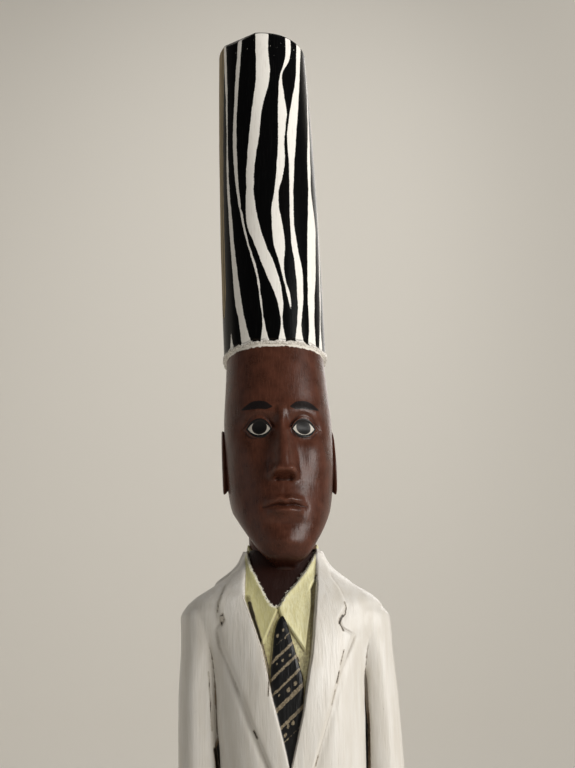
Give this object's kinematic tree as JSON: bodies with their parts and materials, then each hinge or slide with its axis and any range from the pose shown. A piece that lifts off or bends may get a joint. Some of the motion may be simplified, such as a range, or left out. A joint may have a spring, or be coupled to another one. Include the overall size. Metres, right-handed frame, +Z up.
{
  "type": "carved wooden colon figure",
  "caption": "Tall slim standing figure of a man in a suit and tie with a very tall cylindrical striped hat, carved with its low base from one log and painted.",
  "frame": {"origin": "centre of the underside of the low base", "axes": "+Z up through the hat, -Y is the way the figure faces, +X is the viewer's right"},
  "size_m": [0.178, 0.16, 1.149],
  "materials": {
    "painted_wood": "glossy enamel paint on carved wood, with cracks and small chips"
  },
  "bodies": {
    "root": {"figure": "painted_wood"}
  },
  "joints": []
}
